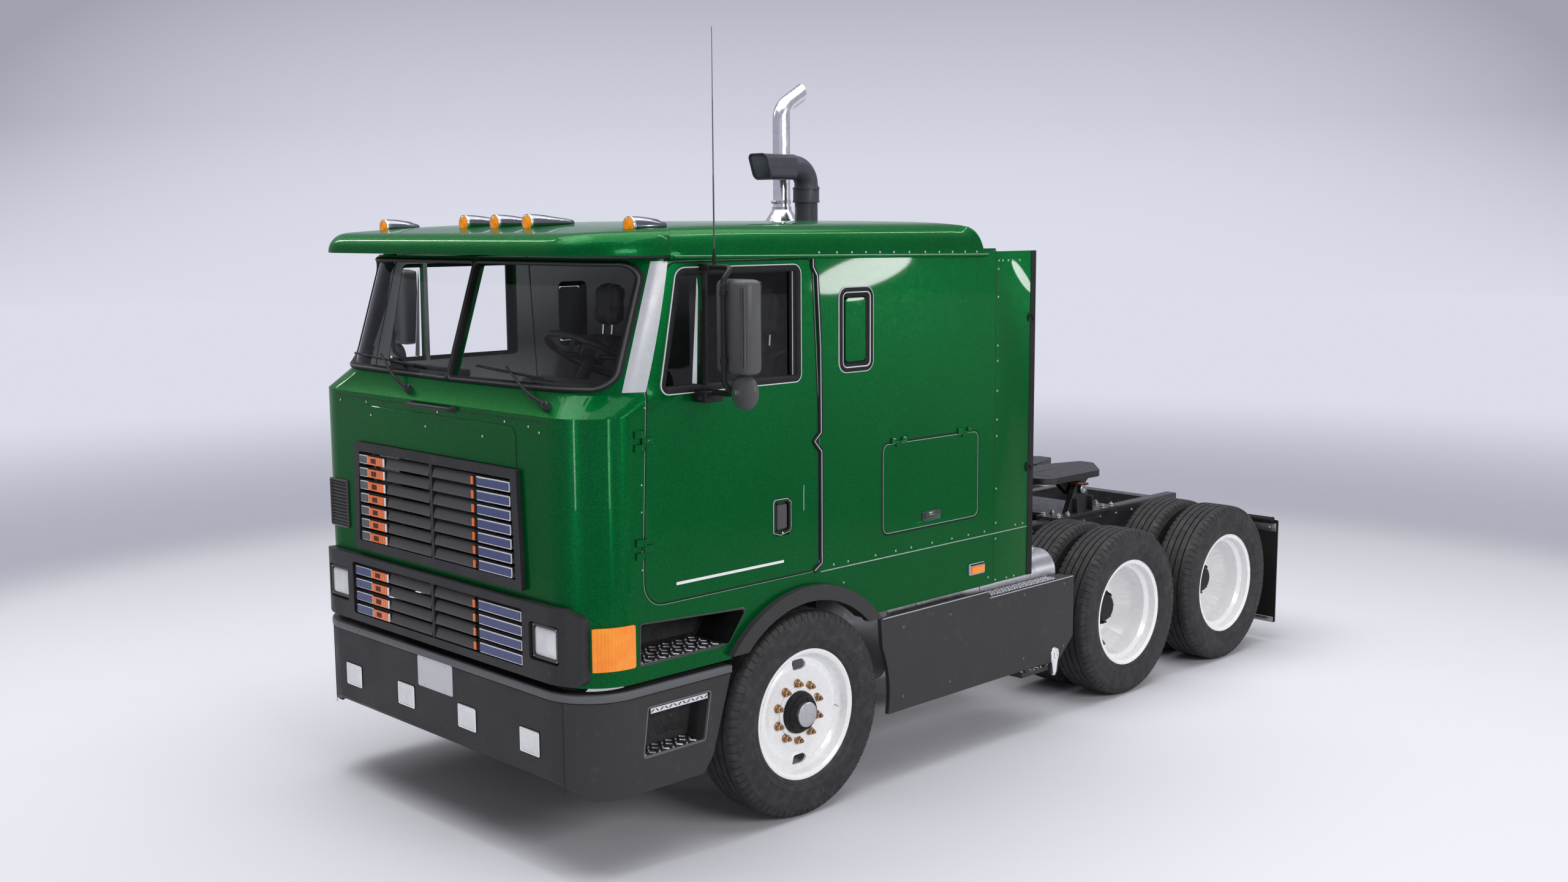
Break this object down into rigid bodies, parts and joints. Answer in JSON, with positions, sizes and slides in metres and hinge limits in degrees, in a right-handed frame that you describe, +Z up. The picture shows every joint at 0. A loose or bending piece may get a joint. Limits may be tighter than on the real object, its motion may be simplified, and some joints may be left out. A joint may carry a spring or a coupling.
{
  "type": "cab-over sleeper tractor unit",
  "caption": "Road tractor with a flat-fronted sleeper cab over its engine, steered front wheels, two driven axles with dual tyres and a fifth wheel coupling for a semi-trailer.",
  "frame": {"origin": "on the ground under the middle of the overall length, on the centre line", "axes": "+Z up, +Y to the rear, +X to the vehicle's left"},
  "size_m": [3.056, 6, 3.8073],
  "materials": {
    "green_paint": "metallic clear coat",
    "white_paint": "gloss",
    "frame_paint": "satin",
    "dark_plastic": "satin",
    "black_plastic": "satin",
    "black_rubber": "matt",
    "tyre_rubber": "matt",
    "chrome": "polished",
    "tank_aluminium": "polished",
    "engine_iron": "painted",
    "amber_lens": "clear lens",
    "red_lens": "clear lens",
    "lamp_glass": "fluted",
    "clear_glass": "clear",
    "black_leather": "soft",
    "grey_fabric": "woven"
  },
  "bodies": {
    "chassis": {"frame_rails": "frame_paint", "bumper": "dark_plastic", "bumper_lamps": "lamp_glass", "front_axle": "frame_paint", "rear_axles": "frame_paint", "driveline": "frame_paint", "engine_block": "engine_iron", "radiator": "frame_paint", "fuel_tanks": "tank_aluminium", "side_fairings": "dark_plastic", "exhaust_stack": "chrome", "air_intake": "black_plastic", "deck_plate": "tank_aluminium", "fifth_wheel_base": "frame_paint", "mud_flaps": "black_rubber", "tail_lamps": "red_lens"},
    "cab": {"cab_shell": "green_paint", "roof_cap": "green_paint", "marker_lights": "amber_lens", "cab_underframe": "frame_paint", "arch_flares": "dark_plastic", "upper_grille": "dark_plastic", "lower_bezel": "dark_plastic", "headlights": "lamp_glass", "turn_lamps": "amber_lens", "cab_glass": "clear_glass", "dashboard": "black_plastic", "steering_wheel": "black_plastic", "seats": "black_leather", "bunk": "grey_fabric", "side_extenders": "green_paint", "wipers": "black_plastic"},
    "fifth_wheel": {"fifth_wheel_plate": "frame_paint"},
    "tie_rod": {"tie_rod": "frame_paint"},
    "knuckle_left": {"knuckle_left": "frame_paint"},
    "front_wheel_left": {"front_tyre_left": "tyre_rubber", "front_wheel_left": "white_paint"},
    "mid_wheels_left": {"mid_tyres_left": "tyre_rubber", "mid_wheels_left": "white_paint"},
    "rear_wheels_left": {"rear_tyres_left": "tyre_rubber", "rear_wheels_left": "white_paint"},
    "door_left": {"door_left": "green_paint", "door_glass_left": "clear_glass", "mirror_left": "black_plastic"},
    "luggage_door_left": {"luggage_door_left": "green_paint"},
    "knuckle_right": {"knuckle_right": "frame_paint"},
    "front_wheel_right": {"front_tyre_right": "tyre_rubber", "front_wheel_right": "white_paint"},
    "mid_wheels_right": {"mid_tyres_right": "tyre_rubber", "mid_wheels_right": "white_paint"},
    "rear_wheels_right": {"rear_tyres_right": "tyre_rubber", "rear_wheels_right": "white_paint"},
    "door_right": {"door_right": "green_paint", "door_glass_right": "clear_glass", "mirror_right": "black_plastic"},
    "luggage_door_right": {"luggage_door_right": "green_paint"}
  },
  "joints": [
    {"name": "cab_tilt", "type": "hinge", "parent": "chassis", "child": "cab", "pos_m": [0, -2.9, 0.545], "axis": [1, 0, 0], "range_deg": [0, 50]},
    {"name": "fifth_wheel_tilt", "type": "hinge", "parent": "chassis", "child": "fifth_wheel", "pos_m": [0, 1.73, 1.14], "axis": [1, 0, 0], "range_deg": [-12, 12]},
    {"name": "steer_left", "type": "hinge", "parent": "chassis", "child": "knuckle_left", "pos_m": [0.88, -1.66, 0.515], "axis": [0, 0, 1], "range_deg": [-33, 33]},
    {"name": "front_wheel_left_spin", "type": "hinge", "parent": "knuckle_left", "child": "front_wheel_left", "pos_m": [1.085, -1.66, 0.515], "axis": [1, 0, 0], "continuous": true},
    {"name": "mid_wheels_left_spin", "type": "hinge", "parent": "chassis", "child": "mid_wheels_left", "pos_m": [0.8825, 1.207, 0.515], "axis": [1, 0, 0], "continuous": true},
    {"name": "rear_wheels_left_spin", "type": "hinge", "parent": "chassis", "child": "rear_wheels_left", "pos_m": [0.8825, 2.345, 0.515], "axis": [1, 0, 0], "continuous": true},
    {"name": "door_left_hinge", "type": "hinge", "parent": "cab", "child": "door_left", "pos_m": [1.176, -2.6385, 1.7], "axis": [0, 0, -1], "range_deg": [0, 65]},
    {"name": "luggage_door_left_hinge", "type": "hinge", "parent": "cab", "child": "luggage_door_left", "pos_m": [1.174, -0.685, 1.7895], "axis": [0, -1, 0], "range_deg": [0, 85]},
    {"name": "steer_right", "type": "hinge", "parent": "chassis", "child": "knuckle_right", "pos_m": [-0.88, -1.66, 0.515], "axis": [0, 0, 1], "range_deg": [-33, 33]},
    {"name": "front_wheel_right_spin", "type": "hinge", "parent": "knuckle_right", "child": "front_wheel_right", "pos_m": [-1.085, -1.66, 0.515], "axis": [1, 0, 0], "continuous": true},
    {"name": "mid_wheels_right_spin", "type": "hinge", "parent": "chassis", "child": "mid_wheels_right", "pos_m": [-0.8825, 1.207, 0.515], "axis": [1, 0, 0], "continuous": true},
    {"name": "rear_wheels_right_spin", "type": "hinge", "parent": "chassis", "child": "rear_wheels_right", "pos_m": [-0.8825, 2.345, 0.515], "axis": [1, 0, 0], "continuous": true},
    {"name": "door_right_hinge", "type": "hinge", "parent": "cab", "child": "door_right", "pos_m": [-1.176, -2.6385, 1.7], "axis": [0, 0, 1], "range_deg": [0, 65]},
    {"name": "luggage_door_right_hinge", "type": "hinge", "parent": "cab", "child": "luggage_door_right", "pos_m": [-1.174, -0.685, 1.7895], "axis": [0, 1, 0], "range_deg": [0, 85]},
    {"name": "tie_rod_swing", "type": "hinge", "parent": "knuckle_left", "child": "tie_rod", "pos_m": [0.88, -1.47, 0.365], "axis": [0, 0, 1], "range_deg": [-33, 33]}
  ],
  "couplings": [
    {"joint": "steer_right", "follows": "steer_left", "ratio": 1},
    {"joint": "tie_rod_swing", "follows": "steer_left", "ratio": -1}
  ]
}
